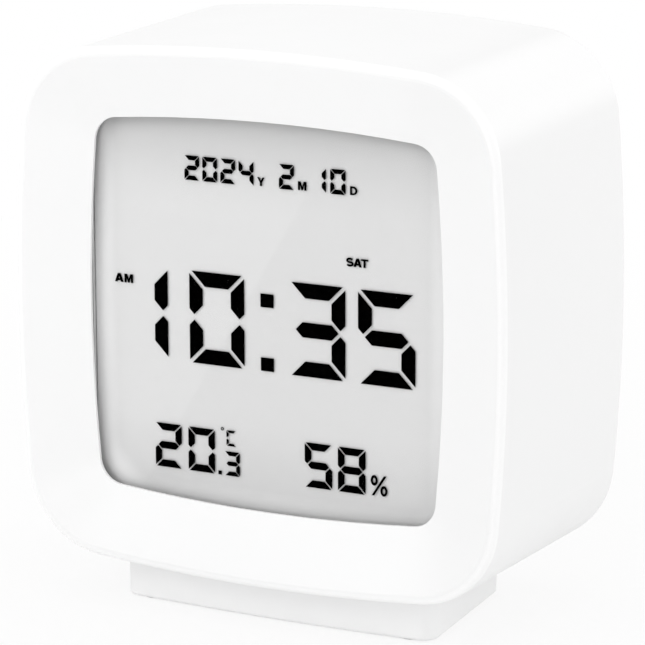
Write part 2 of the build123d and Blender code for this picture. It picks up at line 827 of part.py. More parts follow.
# Four rear buttons, each with the stem of the switch that it presses
for button_name, button_x in zip(("mode", "up", "down", "alarm"), button_places):
    with BuildPart() as button:
        with BuildSketch(facing_front(y_button_flange, button_row)):
            with Locations((button_x, 0)):
                Circle(button_radius)
        extrude(amount=-(y_cover - y_button_flange + button_proud))
        fillet(button.faces().sort_by(Axis.Y)[-1].edges(), button_edge_fillet)
        with BuildSketch(facing_front(y_button_flange, button_row)):
            with Locations((button_x, 0)):
                Circle(button_flange_radius)
        extrude(amount=button_flange_thickness)
        with BuildSketch(facing_front(y_button_flange - button_flange_thickness, button_row)):
            with Locations((button_x, 0)):
                Circle(button_stem_radius)
        extrude(amount=button_stem_length)
    button.part.label = f"{button_name}_button"
    export_step(button.part, f"parts/{button_name}_button.step")

    with BuildPart() as switch_stem:
        with BuildSketch(facing_front(y_button_end, button_row)):
            with Locations((button_x, 0)):
                Circle(switch_stem_radius)
        extrude(amount=switch_stem_proud + switch_stem_hidden)
    switch_stem.part.label = f"{button_name}_switch_stem"
    export_step(switch_stem.part, f"parts/{button_name}_switch_stem.step")

# Temperature and humidity sensor on the button board, behind the vents
with BuildPart() as climate_sensor:
    with BuildSketch(facing_front(y_button_board, upper_row)):
        with Locations((sensor_x, 0)):
            Rectangle(sensor_width, sensor_width)
    extrude(amount=-sensor_thickness)
climate_sensor.part.label = "climate_sensor"
export_step(climate_sensor.part, "parts/climate_sensor.step")

# Buzzer on the rear cover, behind the sound holes
with BuildPart() as buzzer:
    with BuildSketch(facing_front(y_cover_inner, upper_row)):
        with Locations((buzzer_x, 0)):
            Circle(buzzer_radius)
    extrude(amount=buzzer_thickness)
    fillet(buzzer.faces().sort_by(Axis.Y)[0].edges(), buzzer_fillet)
buzzer.part.label = "buzzer"
export_step(buzzer.part, "parts/buzzer.step")

# Sockets that the ribbon plugs into, one on each board
y_button_board_front = y_button_board - button_board_thickness
ribbon_level = body_centre + lcd_middle + holder_height / 2 - ribbon_drop
with BuildPart() as ribbon_sockets:
    with BuildSketch(facing_front(y_button_board_front, ribbon_level)):
        with Locations((ribbon_x, 0)):
            Rectangle(ribbon_socket_width, ribbon_socket_height)
    extrude(amount=ribbon_socket_depth)
    with BuildSketch(facing_front(y_board_back, ribbon_level)):
        with Locations((ribbon_x, 0)):
            Rectangle(ribbon_socket_width, ribbon_socket_height)
    extrude(amount=-ribbon_socket_depth)
ribbon_sockets.part.label = "ribbon_sockets"
export_step(ribbon_sockets.part, "parts/ribbon_sockets.step")

# Ribbon that joins the two boards in one shallow bow
ribbon_rear = y_button_board_front - ribbon_socket_depth
ribbon_front = y_board_back + ribbon_socket_depth
ribbon_middle = (ribbon_rear + ribbon_front) / 2
ribbon_under = ribbon_level - ribbon_thickness
with BuildPart() as ribbon_cable:
    with BuildSketch(across_width(ribbon_x)):
        with BuildLine():
            ThreePointArc(
                (ribbon_front, ribbon_level),
                (ribbon_middle, ribbon_level - ribbon_sag),
                (ribbon_rear, ribbon_level),
            )
            Line((ribbon_rear, ribbon_level), (ribbon_rear, ribbon_under))
            ThreePointArc(
                (ribbon_rear, ribbon_under),
                (ribbon_middle, ribbon_under - ribbon_sag),
                (ribbon_front, ribbon_under),
            )
            Line((ribbon_front, ribbon_under), (ribbon_front, ribbon_level))
        make_face()
    extrude(amount=ribbon_width / 2, both=True)
ribbon_cable.part.label = "ribbon_cable"
export_step(ribbon_cable.part, "parts/ribbon_cable.step")

# Snooze board on its two posts over the foot well
with BuildPart() as snooze_board:
    with BuildSketch(level(snooze_board_bottom)):
        with Locations((0, foot_middle)):
            Rectangle(snooze_board_width, snooze_board_depth)
        with Locations(snooze_post_places):
            Circle(screw_shank_radius + screw_hole_clearance, mode=Mode.SUBTRACT)
    extrude(amount=snooze_board_thickness)
snooze_board.part.label = "snooze_board"
export_step(snooze_board.part, "parts/snooze_board.step")

# Screws that hold the snooze board
snooze_board_screws = screws(
    level(snooze_board_top),
    snooze_post_places,
    screw_head_radius,
    screw_head_height,
    screw_shank_radius,
    snooze_screw_length,
)
snooze_board_screws.part.label = "snooze_board_screws"
export_step(snooze_board_screws.part, "parts/snooze_board_screws.step")

# Housing of the snooze switch, hanging under its board
with BuildPart() as snooze_switch:
    with BuildSketch(level(snooze_switch_bottom)):
        with Locations((0, foot_middle)):
            Rectangle(switch_width, switch_width)
    extrude(amount=switch_height)
    with BuildSketch(level(snooze_switch_bottom)):
        with Locations((0, foot_middle)):
            Circle(switch_bore_radius)
    extrude(amount=switch_stem_hidden + foot_travel + switch_end_clearance, mode=Mode.SUBTRACT)
snooze_switch.part.label = "snooze_switch"
export_step(snooze_switch.part, "parts/snooze_switch.step")

# Stem of the snooze switch, standing on the foot's plunger
with BuildPart() as snooze_switch_stem:
    with BuildSketch(level(plunger_end)):
        with Locations((0, foot_middle)):
            Circle(switch_stem_radius)
    extrude(amount=switch_stem_proud + switch_stem_hidden)
snooze_switch_stem.part.label = "snooze_switch_stem"
export_step(snooze_switch_stem.part, "parts/snooze_switch_stem.step")

# Foot: tray with guide tubes and a plunger, sliding up into the case when the top is pressed
pad_places = [
    (side * (foot_side(y) - pad_inset_x), y)
    for side in (-1, 1)
    for y in (foot_front + pad_inset_y, foot_rear - pad_inset_y)
]
with BuildPart() as foot_base:
    with BuildSketch(level(foot_bottom)):
        add(foot_outline(0))
    extrude(amount=foot_top - foot_bottom)
    fillet(foot_base.faces().sort_by(Axis.Z)[0].edges(), foot_edge_fillet)
    with BuildSketch(level(foot_floor_top)):
        add(foot_outline(-foot_wall))
    extrude(amount=foot_top - foot_floor_top, mode=Mode.SUBTRACT)
    with BuildSketch(level(foot_bottom + foot_floor / 2)):
        with Locations(guide_places):
            Circle(guide_tube_radius)
    extrude(amount=foot_top - foot_bottom - foot_floor / 2)
    with BuildSketch(level(foot_bottom + foot_floor / 2)):
        with Locations((0, foot_middle)):
            Circle(plunger_radius)
    extrude(amount=plunger_end - foot_bottom - foot_floor / 2)
    with BuildSketch(level(guide_web_top)):
        with Locations(guide_places):
            Circle(guide_bore_radius)
    extrude(amount=foot_top - guide_web_top, mode=Mode.SUBTRACT)
    with BuildSketch(level(foot_bottom)):
        with Locations(guide_places):
            Circle(foot_screw_head_radius + guide_hole_clearance)
    extrude(amount=guide_head_recess, mode=Mode.SUBTRACT)
    with BuildSketch(level(guide_web_bottom)):
        with Locations(guide_places):
            Circle(foot_screw_shank_radius + guide_hole_clearance)
    extrude(amount=guide_web, mode=Mode.SUBTRACT)
    with BuildSketch(level(foot_bottom)):
        with Locations(pad_places):
            Circle(pad_radius + pad_play)
    extrude(amount=pad_recess, mode=Mode.SUBTRACT)
foot_base.part.label = "foot_base"
export_step(foot_base.part, "parts/foot_base.step")

# Rubber pads under the foot
with BuildPart() as foot_pads:
    with BuildSketch(level(0)):
        with Locations(pad_places):
            Circle(pad_radius)
    extrude(amount=pad_proud + pad_recess)
foot_pads.part.label = "foot_pads"
export_step(foot_pads.part, "parts/foot_pads.step")

# Shouldered screws that hang the foot on the case's guide pins
foot_screws = screws(
    level(guide_web_bottom).rotated((180, 0, 0)),
    [(x, -y) for x, y in guide_places],
    foot_screw_head_radius,
    foot_screw_head_height,
    foot_screw_shank_radius,
    well_top - guide_web_bottom,
)
foot_screws.part.label = "foot_screws"
export_step(foot_screws.part, "parts/foot_screws.step")

# Coil springs around the guide tubes, between the foot's floor and the case
foot_spring_radius = guide_tube_radius + foot_spring_play + foot_spring_wire
foot_spring_height = well_top - foot_floor_top - 2 * foot_spring_wire
with BuildPart() as foot_springs:
    for place_x, place_y in guide_places:
        with BuildLine() as coil:
            Helix(
                foot_spring_height / foot_spring_turns,
                foot_spring_height,
                foot_spring_radius,
                center=(place_x, place_y, foot_floor_top + foot_spring_wire),
            )
        with BuildSketch(Plane(coil.line @ 0, z_dir=coil.line % 0)):
            Circle(foot_spring_wire)
        sweep(path=coil.line, is_frenet=True)
foot_springs.part.label = "foot_springs"
export_step(foot_springs.part, "parts/foot_springs.step")
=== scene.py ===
"""Looks of the desk clock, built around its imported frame.

Lengths are in millimetres unless a comment says metres, and become metres in meshes and nodes.
X runs to the viewer's right, the display faces -Y and Z runs up.
"""

import json
import math
from collections import namedtuple

import bmesh
import bpy
from mathutils import Matrix, Vector


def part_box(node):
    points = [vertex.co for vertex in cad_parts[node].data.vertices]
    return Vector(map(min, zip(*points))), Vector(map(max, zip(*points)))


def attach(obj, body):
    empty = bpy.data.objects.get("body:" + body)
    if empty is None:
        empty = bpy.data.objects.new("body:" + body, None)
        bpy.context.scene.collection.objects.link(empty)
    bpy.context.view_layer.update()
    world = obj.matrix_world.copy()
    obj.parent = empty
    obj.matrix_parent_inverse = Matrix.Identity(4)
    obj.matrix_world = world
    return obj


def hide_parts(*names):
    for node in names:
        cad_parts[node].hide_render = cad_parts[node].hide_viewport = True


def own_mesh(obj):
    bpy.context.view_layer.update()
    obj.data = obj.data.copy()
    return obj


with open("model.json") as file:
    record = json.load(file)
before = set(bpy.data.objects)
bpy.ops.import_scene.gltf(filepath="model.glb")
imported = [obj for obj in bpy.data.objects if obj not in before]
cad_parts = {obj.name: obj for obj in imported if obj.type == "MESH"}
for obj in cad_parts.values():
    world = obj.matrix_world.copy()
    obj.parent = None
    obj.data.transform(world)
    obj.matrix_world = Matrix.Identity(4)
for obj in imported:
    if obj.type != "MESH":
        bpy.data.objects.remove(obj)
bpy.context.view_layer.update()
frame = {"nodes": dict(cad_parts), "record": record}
nodes = frame["nodes"]

MM = 0.001


def box_mm(node):
    """Lowest and highest corner of a CAD node in millimetres."""
    low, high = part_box(node)
    return low / MM, high / MM


# Places that come from the frame
lens_low, lens_high = box_mm("display_lens")
lcd_low, lcd_high = box_mm("lcd_panel")
case_low = box_mm("case_shell")[0]
cell_low, cell_high = box_mm("upper_cell")
DISPLAY_X = (lens_low.x + lens_high.x) / 2
DISPLAY_Z = (lens_low.z + lens_high.z) / 2
FRONT_Y = case_low.y
CELL_REACH = max(abs(cell_low.x), abs(cell_high.x))

# Photograph's view, as a camera that looks at the middle of the front
FOCAL_PIXELS = 3505.42
IMAGE_PIXELS = 645
SENSOR_WIDTH = 36.0
CAMERA_AZIMUTH = 28.2334
CAMERA_ELEVATION = 12.9707
CAMERA_ROLL = -0.1776
CAMERA_DISTANCE = 501.293
CAMERA_SHIFT_RIGHT = 10.167
CAMERA_SHIFT_UP = 0.283
CAMERA_NEAR = 0.01  # metres
CAMERA_FAR = 20.0  # metres

# Display layers, front to back: the figures lie inside the front glass, ahead of the ground
SEGMENT_SINK = 0.06
SEGMENT_THICKNESS = 0.04
FRONT_GLASS_THICKNESS = 0.3
GLASS_SEAT = 0.03
PLATE_SOFTENING = 0.04
SOFTENING_STEPS = 2

# Rows of figures. Places on the display count from its middle, and a base is a row's lower edge.
Row = namedtuple("Row", "height width bar gap base")
TIME_ROW = Row(height=13.75, width=9.15, bar=2.22, gap=0.42, base=-8.1)
DATE_ROW = Row(height=3.6, width=2.45, bar=0.66, gap=0.09, base=19.05)
CLIMATE_ROW = Row(height=6.65, width=4.48, bar=1.08, gap=0.16, base=-24.52)
TENTHS_ROW = Row(height=3.65, width=2.55, bar=0.64, gap=0.1, base=CLIMATE_ROW.base)
UNIT_ROW = Row(height=2.35, width=1.6, bar=0.38, gap=0.08, base=-20.03)

# Each read-out's rows, with every figure's right edge
READ_OUTS = {
    "time_figures": ((TIME_ROW, (("1", -16.9), ("0", -4.05), ("3", 12.5), ("5", 23.7))),),
    "date_figures": (
        (
            DATE_ROW,
            (
                ("2", -11.34), ("0", -8.35), ("2", -5.36), ("4", -2.34),
                ("2", 4.27), ("1", 9.43), ("0", 12.57),
            ),
        ),
    ),
    "temperature_figures": (
        (CLIMATE_ROW, (("2", -14.81), ("0", -9.18))),
        (TENTHS_ROW, (("3", -4.98),)),
        (UNIT_ROW, (("C", -5.6),)),
    ),
    "humidity_figures": ((CLIMATE_ROW, (("5", 10.31), ("8", 15.74))),),
}

# Dots of the read-outs: middle across, middle upward, width and height
COLON_X = -0.26
COLON_SIZE = (2.15, 2.0)
POINT_SIZE = 0.58
DOTS = {
    "time_figures": ((COLON_X, 2.43, *COLON_SIZE), (COLON_X, -7.04, *COLON_SIZE)),
    "temperature_figures": (
        (-8.33, CLIMATE_ROW.base + POINT_SIZE / 2, POINT_SIZE, POINT_SIZE),
    ),
}

# Rings of the read-outs: middle across, middle upward, radius and bore
RINGS = {"temperature_figures": ((-7.9, -17.55, 0.26, 0.12),)}

# Lettered marks: each letter's left and right, then the mark's bottom and top
MARKS = {
    "am": ((("A", -25.89, -24.42), ("M", -24.25, -22.79)), 2.77, 4.06),
    "sat": ((("S", 12.65, 13.84), ("A", 13.84, 15.14), ("T", 14.98, 16.21)), 8.83, 10.07),
    "y": ((("Y", -1.72, -0.52),), 19.18, 20.44),
    "m": ((("M", 4.91, 6.28),), 19.14, 20.41),
    "d": ((("D", 13.29, 14.46),), 19.16, 20.41),
    "percent": ((("%", 16.58, 19.28),), -24.4, -21.37),
}

# Straight parts of the letters, as shares of their width and height from the lower left
LETTER_OUTLINE_SHARES = {
    "A": (
        ((0, 0), (0.31, 0), (0.5, 0.68), (0.5, 1), (0.33, 1)),
        ((0.69, 0), (1, 0), (0.67, 1), (0.5, 1), (0.5, 0.68)),
        ((0.33, 0.18), (0.67, 0.18), (0.6, 0.4), (0.4, 0.4)),
    ),
    "M": (
        (
            (0, 0), (0.25, 0), (0.25, 0.66), (0.41, 0), (0.59, 0), (0.75, 0.66), (0.75, 0),
            (1, 0), (1, 1), (0.68, 1), (0.5, 0.38), (0.32, 1), (0, 1),
        ),
    ),
    "T": (
        ((0.36, 0), (0.64, 0), (0.64, 0.79), (1, 0.79), (1, 1), (0, 1), (0, 0.79), (0.36, 0.79)),
    ),
    "Y": (
        (
            (0.35, 0), (0.65, 0), (0.65, 0.42), (1, 1), (0.71, 1), (0.5, 0.62),
            (0.29, 1), (0, 1), (0.35, 0.42),
        ),
    ),
    "%": (((0.06, 0), (0.21, 0), (0.94, 1), (0.79, 1)),),
}

# Curved parts in the same shares. An arc is its middle, its half width and height, and two angles.
CURVE_STEPS = 16
S_STROKE = 0.24
S_UPPER_ARC = (0.5, 0.7, 0.38, 0.2, 25, 270)
S_LOWER_ARC = (0.5, 0.3, 0.4, 0.2, 90, -155)
D_OUTER_ARC = (0.42, 0.5, 0.58, 0.5, -90, 90)
D_INNER_ARC = (0.42, 0.5, 0.3, 0.29, -90, 90)
D_STEM = 0.27
D_BAR = 0.21
PERCENT_RING_MIDDLES = ((0.21, 0.74), (0.79, 0.26))
PERCENT_RING = (0.21, 0.26)
PERCENT_BORE = (0.08, 0.13)
FULL_TURN = (0, 360)

# How the bars of a figure meet, and which bars are lit
TIP_SHARE = 0.36
MIDDLE_BAR_GAP_SHARE = 0.7
LIT_BARS = {
    "0": "abcdef",
    "1": "bc",
    "2": "abged",
    "3": "abgcd",
    "4": "fgbc",
    "5": "afgcd",
    "8": "abcdefg",
    "C": "afed",
}

# Noise: how finely it is layered, and the span that holds most of its values
NOISE_DETAIL = 3.0
SLOW_NOISE_DETAIL = 2.0
NOISE_SPAN = (0.3, 0.7)
NARROW_NOISE_SPAN = (0.35, 0.65)

# Moulded plastic
TONE_GRAIN = 18.0
GLOSS_SPREAD = (0.9, 1.1)
PLASTIC_IOR = 1.46

# The case's painted highlights on rim and shoulder, painted floor light on the foot and painted
# shade at the right: millimetres behind the front, above the floor and from the middle, and how
# far a surface has to face outward or towards the shoulder
PAINTED_RIM_HIGHLIGHT_DEPTH = (1.15, 0.85)
PAINTED_RIM_HIGHLIGHT_FACING = (0.05, 0.35)
FOOT_TOP = 7.0
PAINTED_FOOT_LIGHT_FADE = (5.5, 0.5)
PAINTED_FOOT_LIGHT_SHARE = (0.4, 1.0)
PAINTED_SHOULDER_HIGHLIGHT_FACING = (0.82, 0.97)
PAINTED_SHOULDER_HIGHLIGHT_SHARE = (0.0, 0.7)
PAINTED_RIGHT_SHADE_FADE = (20.0, 33.0)
PAINTED_RIGHT_SHADE_TONE = 0.965
CASE_SHADE = 0.992
CASE_GLOSS_GRAIN = 3.0

# Plated metal and striped strips
METAL_SHADE = 0.86
METAL_GLOSS_SPREAD = (0.8, 1.25)
METAL_RELIEF = 0.1
STRIPE_GLOSS_GRAIN = 0.8
STRIPE_GLOSS_SPREAD = (0.85, 1.15)

# Circuit board: track pitches by axis, how the tracks wander, and where in a pitch each begins
MASK_COLOUR = (0.012, 0.13, 0.05)
TRACK_COLOUR = (0.03, 0.24, 0.09)
TRACK_PITCHES = (("X", 2.2), ("Z", 2.6))
TRACK_WANDER_GRAIN = 14.0
TRACK_WANDER = 3.0
TRACK_START = 0.72

# Clear windows mirror little of the room
WINDOW_TONE = 0.995
WINDOW_IOR = 1.03
WINDOW_ROUGHNESS = 0.04

# The display's ground: its own grey, painted shade towards top and bottom, painted light along its
# edges and a painted reflection, and where each fades in, from the display's middle
GROUND_MIDDLE = 0.772
GROUND_PAINTED_TOP_SHADE = 0.675
GROUND_PAINTED_BROW_SHADE = 0.65
GROUND_PAINTED_BOTTOM_SHADE = 0.705
GROUND_PAINTED_EDGE_LIGHT = 0.98
PAINTED_TOP_SHADE_FADE = (15.0, 28.0)
PAINTED_BROW_SHADE_FADE = (24.5, 27.0)
PAINTED_BOTTOM_SHADE_FADE = (-15.0, -25.0)
PAINTED_LOWER_EDGE_LIGHT_FADE = (-26.0, -30.5)
PAINTED_SIDE_EDGE_LIGHT_FADE = (25.3, 28.5)
PAINTED_CORNER_LIGHT_FADE = (48.0, 54.0)
PAINTED_CORNER_LIGHT_LEAN = 0.06
PAINTED_REFLECTION_LEAN = 0.6
PAINTED_REFLECTION_EDGE = (-4.6, -5.2)
PAINTED_REFLECTION_STRENGTH = (0.0, 0.12)
PAINTED_REFLECTION_FADE = (15.0, 23.0)
STREAK_SCALE = (25.0, 60.0, 900.0)
STREAK_SHARE = (0.0, 0.02)
STREAK_TONE = 0.5

# Battery cells
CELL_END_LENGTH = 1.4
CELL_BAND_START = 9.0
CELL_JACKET_COLOUR = (0.05, 0.06, 0.07)
CELL_BAND_COLOUR = (0.55, 0.56, 0.56)
CELL_METAL_COLOUR = (0.72, 0.71, 0.68)

# Light guide's printed dots
DOT_PITCH = 0.9
DOT_EDGE = (0.22, 0.3)
DOT_SCATTER = 0.1

# Soft square lamps: place and target, size, all in metres, and power in watts
LAMPS = {
    "key_lamp": ((-0.25, -0.45, 0.35), (-0.05, -0.28, 0.0), 0.3, 0.56),
    "top_lamp": ((0.0, -0.1, 0.95), (0.0, 0.0, 0.045), 0.8, 1.13),
    "rear_lamp": ((0.7, 0.45, 0.35), (0.0, 0.0, 0.045), 0.4, 1.3),
    "low_lamp": ((0.1, -0.9, 0.02), (0.0, 0.0, 0.0), 0.15, 0.75),
}
AMBIENT = 0.78

# Floor: the share of its shade that shows, and where it fades to plain white, in metres
FLOOR_TONE = 0.93
FLOOR_REACH = 3.0
SHADE_SHARE = 0.16
SHADE_FADE = (0.06, 0.3)
SEEN_RAYS = ("Is Camera Ray", "Is Glossy Ray", "Is Transmission Ray")


def place_piece(name, mesh, material):
    """A mesh as a piece that rides on the case, with one finish."""
    mesh.materials.clear()
    mesh.materials.append(material)
    piece = bpy.data.objects.new(name, mesh)
    bpy.context.scene.collection.objects.link(piece)
    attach(piece, "case")
    return piece


def new_material(name):
    """A material with its node tree and Principled shader."""
    material = bpy.data.materials.new(name)
    material.use_nodes = True
    tree = material.node_tree
    return material, tree, tree.nodes["Principled BSDF"]


def add_node(tree, kind, values=None, **settings):
    """A node with the given input values and settings."""
    node = tree.nodes.new(kind)
    for key, value in settings.items():
        setattr(node, key, value)
    for key, value in (values or {}).items():
        node.inputs[key].default_value = value
    return node


def coordinates(tree, output="Object"):
    """A point's place, or its normal, in the frame's own coordinates."""
    return add_node(tree, "ShaderNodeTexCoord").outputs[output]


def noise(tree, grain, detail=NOISE_DETAIL):
    """Noise in the frame's own coordinates, with features of about grain millimetres."""
    texture = add_node(tree, "ShaderNodeTexNoise", {"Scale": 1 / (grain * MM), "Detail": detail})
    tree.links.new(coordinates(tree), texture.inputs["Vector"])
    return texture.outputs["Fac"]


def axis_value(tree, axis, output="Object"):
    """One coordinate of a point in the frame, in metres, or of its normal."""
    split = add_node(tree, "ShaderNodeSeparateXYZ")
    tree.links.new(coordinates(tree, output), split.inputs["Vector"])
    return split.outputs[axis]


def ranged(tree, value, source, target=(0.0, 1.0), smooth=False):
    """value, mapped from one range to another and clamped."""
    node = add_node(
        tree,
        "ShaderNodeMapRange",
        {"From Min": source[0], "From Max": source[1], "To Min": target[0], "To Max": target[1]},
        interpolation_type="SMOOTHSTEP" if smooth else "LINEAR",
    )
    tree.links.new(value, node.inputs["Value"])
    return node.outputs["Result"]


def fade(tree, place, zone, target=(0.0, 1.0), smooth=False):
    """A place in metres, mapped from a zone in millimetres and clamped."""
    return ranged(tree, place, (zone[0] * MM, zone[1] * MM), target, smooth)


def mottled(tree, grain, target=(0.0, 1.0), detail=NOISE_DETAIL, span=NOISE_SPAN):
    """A value that wanders over about grain millimetres between the ends of target."""
    return ranged(tree, noise(tree, grain, detail), span, target)


def blended(tree, factor, first, second):
    """first where factor is 0 and second where it is 1. Each is a colour or a socket."""
    node = add_node(tree, "ShaderNodeMix", data_type="RGBA")
    tree.links.new(factor, node.inputs["Factor"])
    for socket, colour in ((node.inputs[6], first), (node.inputs[7], second)):
        if isinstance(colour, bpy.types.NodeSocket):
            tree.links.new(colour, socket)
        else:
            socket.default_value = (*colour, 1)
    return node.outputs[2]


def arithmetic(tree, operation, first, second=0.0):
    """One sum on two values, each a number or a socket."""
    node = add_node(tree, "ShaderNodeMath", operation=operation)
    for socket, value in zip(node.inputs, (first, second)):
        if isinstance(value, bpy.types.NodeSocket):
            tree.links.new(value, socket)
        else:
            socket.default_value = value
    return node.outputs["Value"]


def colour_by(tree, shader, colour):
    """Sets the shader's colour from a socket."""
    tree.links.new(colour, shader.inputs["Base Color"])


def vary_gloss(tree, shader, grain, spread):
    """Roughness that wanders between the two values of spread."""
    tree.links.new(mottled(tree, grain, spread), shader.inputs["Roughness"])


def roughen(tree, shader, grain, depth, strength):
    """Fine surface relief of about depth millimetres."""
    bump = add_node(tree, "ShaderNodeBump", {"Strength": strength, "Distance": depth * MM})
    tree.links.new(noise(tree, grain), bump.inputs["Height"])
    tree.links.new(bump.outputs["Normal"], shader.inputs["Normal"])


def mix_surface(tree, factor, first, second):
    """Makes the surface the first shader where factor is 0 and the second where it is 1."""
    mixed = add_node(tree, "ShaderNodeMixShader")
    for socket, source in zip(mixed.inputs, (factor, first, second)):
        tree.links.new(source, socket)
    tree.links.new(mixed.outputs["Shader"], tree.nodes["Material Output"].inputs["Surface"])


def grey(level):
    return (level, level, level)


def scaled(values, share):
    return tuple(value * share for value in values)


def outward_facing(tree):
    """How far a surface faces away from the display's middle, seen from the front."""
    middle = (DISPLAY_X * MM, 0, DISPLAY_Z * MM)
    flat = add_node(tree, "ShaderNodeVectorMath", {1: (1, 0, 1)}, operation="MULTIPLY")
    offset = add_node(tree, "ShaderNodeVectorMath", {1: middle}, operation="SUBTRACT")
    unit = add_node(tree, "ShaderNodeVectorMath", operation="NORMALIZE")
    along = add_node(tree, "ShaderNodeVectorMath", operation="DOT_PRODUCT")
    tree.links.new(coordinates(tree), flat.inputs[0])
    tree.links.new(flat.outputs["Vector"], offset.inputs[0])
    tree.links.new(offset.outputs["Vector"], unit.inputs[0])
    tree.links.new(unit.outputs["Vector"], along.inputs[0])
    tree.links.new(coordinates(tree, "Normal"), along.inputs[1])
    return along.outputs["Value"]


def shoulder_facing(tree):
    """How far a surface faces up and to either side: 1 halfway between, on the shoulder, where a
    highlight is painted.
    """
    sideways = arithmetic(tree, "ABSOLUTE", axis_value(tree, "X", "Normal"))
    both = arithmetic(tree, "ADD", sideways, axis_value(tree, "Z", "Normal"))
    return arithmetic(tree, "MULTIPLY", both, math.sqrt(0.5))


def painted_rim_highlight(tree):
    """Painted highlight: 1 on the turned front rim's outer half."""
    outward = ranged(tree, outward_facing(tree), PAINTED_RIM_HIGHLIGHT_FACING)
    zone = (FRONT_Y + PAINTED_RIM_HIGHLIGHT_DEPTH[0], FRONT_Y + PAINTED_RIM_HIGHLIGHT_DEPTH[1])
    return arithmetic(tree, "MULTIPLY", outward, fade(tree, axis_value(tree, "Y"), zone))


def painted_foot_light(tree):
    """Painted light that rises on the foot towards the floor, in place of the floor's bounce."""
    height = axis_value(tree, "Z")
    on_foot = arithmetic(tree, "LESS_THAN", height, FOOT_TOP * MM)
    return arithmetic(tree, "MULTIPLY", on_foot, fade(tree, height, PAINTED_FOOT_LIGHT_FADE, PAINTED_FOOT_LIGHT_SHARE))


def case_plastic(colour, painted_light_colour, roughness):
    """The case's satin white, with painted shade at the right, painted highlights on rim and
    shoulder, and painted light from the floor on the foot.
    """
    material, tree, shader = new_material("case_plastic")
    tone = mottled(tree, TONE_GRAIN, detail=SLOW_NOISE_DETAIL)
    satin = blended(tree, tone, scaled(colour, CASE_SHADE), colour)
    # Painted shade: the right bezel and side are darkened by position, standing in for less light
    # there.
    painted_right_shade_share = fade(tree, axis_value(tree, "X"), PAINTED_RIGHT_SHADE_FADE, smooth=True)
    satin = blended(tree, painted_right_shade_share, satin, scaled(colour, PAINTED_RIGHT_SHADE_TONE))
    # Painted highlight on the shoulder between the top and the sides.
    facing = shoulder_facing(tree)
    shoulder = ranged(tree, facing, PAINTED_SHOULDER_HIGHLIGHT_FACING, PAINTED_SHOULDER_HIGHLIGHT_SHARE, smooth=True)
    # Painted light: the rim's and shoulder's highlights and the foot's light from the floor, in
    # the paler colour.
    pale = arithmetic(tree, "MAXIMUM", painted_rim_highlight(tree), painted_foot_light(tree))
    pale = arithmetic(tree, "MAXIMUM", pale, shoulder)
    colour_by(tree, shader, blended(tree, pale, satin, painted_light_colour))
    vary_gloss(tree, shader, CASE_GLOSS_GRAIN, scaled(GLOSS_SPREAD, roughness))
    shader.inputs["IOR"].default_value = PLASTIC_IOR
    roughen(tree, shader, grain=0.5, depth=0.006, strength=0.12)
    return material


def plastic(name, colour, roughness, grain=0.35, depth=0.01, relief=0.15, spread=0.02):
    """Moulded plastic: a slow drift of tone, a fine grain, and gloss that varies with it."""
    material, tree, shader = new_material(name)
    tone = mottled(tree, TONE_GRAIN, detail=SLOW_NOISE_DETAIL)
    colour_by(tree, shader, blended(tree, tone, scaled(colour, 1 - spread), colour))
    vary_gloss(tree, shader, grain * 6, scaled(GLOSS_SPREAD, roughness))
    shader.inputs["IOR"].default_value = PLASTIC_IOR
    roughen(tree, shader, grain, depth, relief)
    return material


def metal(name, colour, roughness, grain=0.25):
    """Plated or drawn metal with slight tarnish."""
    material, tree, shader = new_material(name)
    tone = mottled(tree, grain * 8, span=NARROW_NOISE_SPAN)
    colour_by(tree, shader, blended(tree, tone, scaled(colour, METAL_SHADE), colour))
    vary_gloss(tree, shader, grain, scaled(METAL_GLOSS_SPREAD, roughness))
    shader.inputs["Metallic"].default_value = 1.0
    roughen(tree, shader, grain, depth=0.005, strength=METAL_RELIEF)
    return material


def striped(name, first, second, pitch, roughness, width_share=0.5):
    """Fine stripes across X, for a ribbon's conductors or a layered contact strip."""
    material, tree, shader = new_material(name)
    turns = arithmetic(tree, "DIVIDE", axis_value(tree, "X"), pitch * MM)
    edge = arithmetic(tree, "GREATER_THAN", arithmetic(tree, "FRACT", turns), width_share)
    colour_by(tree, shader, blended(tree, edge, first, second))
    vary_gloss(tree, shader, STRIPE_GLOSS_GRAIN, scaled(STRIPE_GLOSS_SPREAD, roughness))
    return material


def circuit_board():
    """Solder mask over tracks: the tracks show as paler lines along two directions."""
    material, tree, shader = new_material("solder_mask")
    bands = []
    for axis, pitch in TRACK_PITCHES:
        wander = noise(tree, TRACK_WANDER_GRAIN, detail=0.0)
        wander = arithmetic(tree, "MULTIPLY", wander, TRACK_WANDER)
        straight = arithmetic(tree, "DIVIDE", axis_value(tree, axis), pitch * MM)
        phase = arithmetic(tree, "FRACT", arithmetic(tree, "ADD", straight, wander))
        bands.append(arithmetic(tree, "GREATER_THAN", phase, TRACK_START))
    tracks = arithmetic(tree, "MAXIMUM", *bands)
    colour_by(tree, shader, blended(tree, tracks, MASK_COLOUR, TRACK_COLOUR))
    shader.inputs["Coat Weight"].default_value = 0.4
    vary_gloss(tree, shader, grain=0.9, spread=(0.26, 0.36))
    roughen(tree, shader, grain=0.3, depth=0.01, strength=0.1)
    return material


def clear_window(name):
    """Clear sheet that passes lamplight and mirrors very little of the room."""
    material, tree, shader = new_material(name)
    tree.nodes.remove(shader)
    through = add_node(tree, "ShaderNodeBsdfTransparent", {"Color": (*grey(WINDOW_TONE), 1)})
    gloss = add_node(tree, "ShaderNodeBsdfGlossy", {"Roughness": WINDOW_ROUGHNESS})
    mirror = add_node(tree, "ShaderNodeFresnel", {"IOR": WINDOW_IOR})
    mix_surface(tree, mirror.outputs["Fac"], through.outputs["BSDF"], gloss.outputs["BSDF"])
    return material


